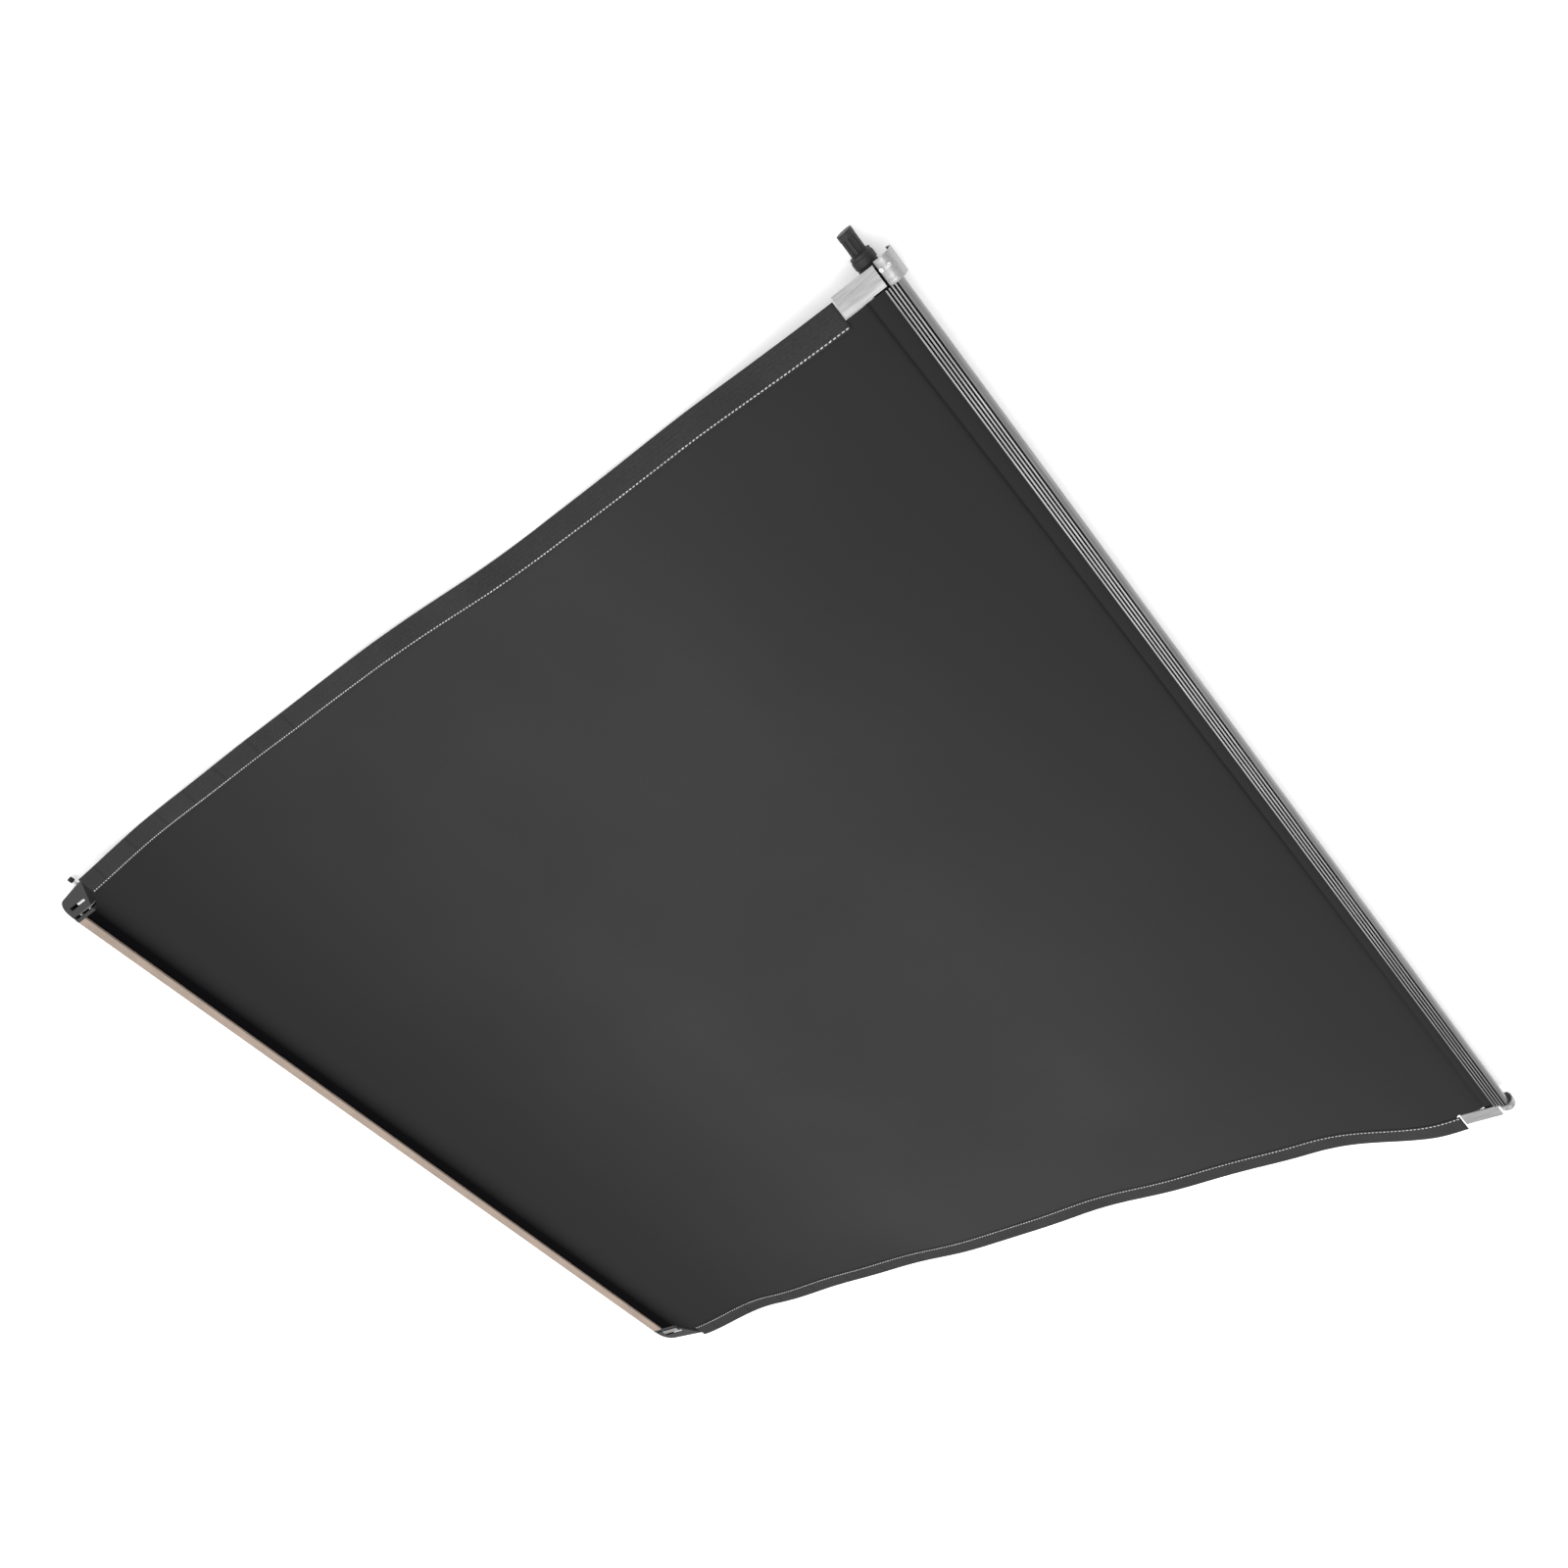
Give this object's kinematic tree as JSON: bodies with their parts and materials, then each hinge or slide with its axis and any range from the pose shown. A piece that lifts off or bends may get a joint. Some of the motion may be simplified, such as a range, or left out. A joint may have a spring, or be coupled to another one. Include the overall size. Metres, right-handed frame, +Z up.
{
  "type": "tonneau cover",
  "caption": "Soft roll-up pickup bed cover: grey vinyl sheet held between a grooved header rail and a latching rear bar.",
  "frame": {"origin": "middle of the laid-out cover's footprint, on the floor that it lies on", "axes": "+X across the bed, +Y along the bed towards the cab and header rail, +Z up"},
  "size_m": [1.599, 1.7891, 0.0424],
  "materials": {
    "cover_vinyl": "smooth matt coated vinyl",
    "tape_webbing": "woven hook-and-loop tape",
    "mill_aluminium": "extruded satin anodised",
    "black_aluminium": "black satin coat",
    "plate_aluminium": "brushed sheet",
    "black_nylon": "moulded glass-filled nylon",
    "seal_foam_tan": "smooth tan foam seal",
    "seal_foam_black": "closed-cell foam",
    "bead_cord": "solid plastic cord",
    "zinc_steel": "zinc plated",
    "spring_steel": "oiled spring wire",
    "pad_rubber": "soft grip rubber"
  },
  "bodies": {
    "header": {"header_rail": "mill_aluminium", "header_bead": "bead_cord", "header_foam_seal": "seal_foam_black", "header_end_block_left": "black_nylon", "header_end_block_right": "black_nylon", "header_sleeve_left": "plate_aluminium", "header_sleeve_right": "plate_aluminium", "side_plate_left": "plate_aluminium", "side_plate_right": "plate_aluminium", "side_plate_spacers": "black_nylon", "sleeve_screws": "zinc_steel", "end_block_screws": "zinc_steel", "header_pin_spring": "spring_steel", "cover_sheet_front": "cover_vinyl", "side_tapes_front": "tape_webbing"},
    "spring_pin": {"header_spring_pin": "black_nylon"},
    "roll_1": {"cover_sheet_roll_1": "cover_vinyl", "side_tapes_roll_1": "tape_webbing"},
    "roll_2": {"cover_sheet_roll_2": "cover_vinyl", "side_tapes_roll_2": "tape_webbing"},
    "roll_3": {"cover_sheet_roll_3": "cover_vinyl", "side_tapes_roll_3": "tape_webbing"},
    "roll_4": {"cover_sheet_roll_4": "cover_vinyl", "side_tapes_roll_4": "tape_webbing"},
    "roll_5": {"cover_sheet_roll_5": "cover_vinyl", "side_tapes_roll_5": "tape_webbing"},
    "roll_6": {"cover_sheet_roll_6": "cover_vinyl", "side_tapes_roll_6": "tape_webbing"},
    "rear": {"cover_sheet_rear": "cover_vinyl", "rear_bar": "black_aluminium", "rear_bead": "bead_cord", "tailgate_seal_strip": "seal_foam_tan", "rear_cap_left": "black_nylon", "rear_cap_right": "black_nylon", "rear_cap_screws": "zinc_steel", "latch_plate_left": "plate_aluminium", "latch_plate_right": "plate_aluminium", "latch_spring_left": "spring_steel", "latch_spring_right": "spring_steel"},
    "latch_left": {"latch_slide_left": "zinc_steel", "latch_finger_pad_left": "pad_rubber"},
    "latch_right": {"latch_slide_right": "zinc_steel", "latch_finger_pad_right": "pad_rubber"}
  },
  "joints": [
    {"name": "pin_press", "type": "slide", "parent": "header", "child": "spring_pin", "axis": [1, 0, 0], "range_m": [0, 0.014], "stiffness_N_per_m": 900, "springref_m": -0.006, "deforming": ["header_pin_spring"]},
    {"name": "roll_hinge_1", "type": "hinge", "parent": "header", "child": "roll_1", "pos_m": [0.0085, -0.25255, 0.00125], "axis": [-1, 0, 0], "range_deg": [0, 40]},
    {"name": "roll_hinge_2", "type": "hinge", "parent": "roll_1", "child": "roll_2", "pos_m": [0.0085, -0.34255, 0.00125], "axis": [-1, 0, 0], "range_deg": [0, 40]},
    {"name": "roll_hinge_3", "type": "hinge", "parent": "roll_2", "child": "roll_3", "pos_m": [0.0085, -0.43255, 0.00125], "axis": [-1, 0, 0], "range_deg": [0, 40]},
    {"name": "roll_hinge_4", "type": "hinge", "parent": "roll_3", "child": "roll_4", "pos_m": [0.0085, -0.52255, 0.00125], "axis": [-1, 0, 0], "range_deg": [0, 40]},
    {"name": "roll_hinge_5", "type": "hinge", "parent": "roll_4", "child": "roll_5", "pos_m": [0.0085, -0.61255, 0.00226], "axis": [-1, 0, 0], "range_deg": [0, 40]},
    {"name": "roll_hinge_6", "type": "hinge", "parent": "roll_5", "child": "roll_6", "pos_m": [0.0085, -0.70255, 0.01695], "axis": [-1, 0, 0], "range_deg": [0, 40]},
    {"name": "roll_hinge_7", "type": "hinge", "parent": "roll_6", "child": "rear", "pos_m": [0.0085, -0.79255, 0.03292], "axis": [-1, 0, 0], "range_deg": [0, 40]},
    {"name": "latch_slide_left", "type": "slide", "parent": "rear", "child": "latch_left", "axis": [0, -1, 0], "range_m": [0, 0.012], "stiffness_N_per_m": 600, "springref_m": -0.006, "deforming": ["latch_spring_left"]},
    {"name": "latch_slide_right", "type": "slide", "parent": "rear", "child": "latch_right", "axis": [0, -1, 0], "range_m": [0, 0.012], "stiffness_N_per_m": 600, "springref_m": -0.006, "deforming": ["latch_spring_right"]}
  ],
  "couplings": [
    {"joint": "roll_hinge_1", "follows": "roll_hinge_7", "ratio": 1},
    {"joint": "roll_hinge_2", "follows": "roll_hinge_7", "ratio": 1},
    {"joint": "roll_hinge_3", "follows": "roll_hinge_7", "ratio": 1},
    {"joint": "roll_hinge_4", "follows": "roll_hinge_7", "ratio": 1},
    {"joint": "roll_hinge_5", "follows": "roll_hinge_7", "ratio": 1},
    {"joint": "roll_hinge_6", "follows": "roll_hinge_7", "ratio": 1}
  ]
}
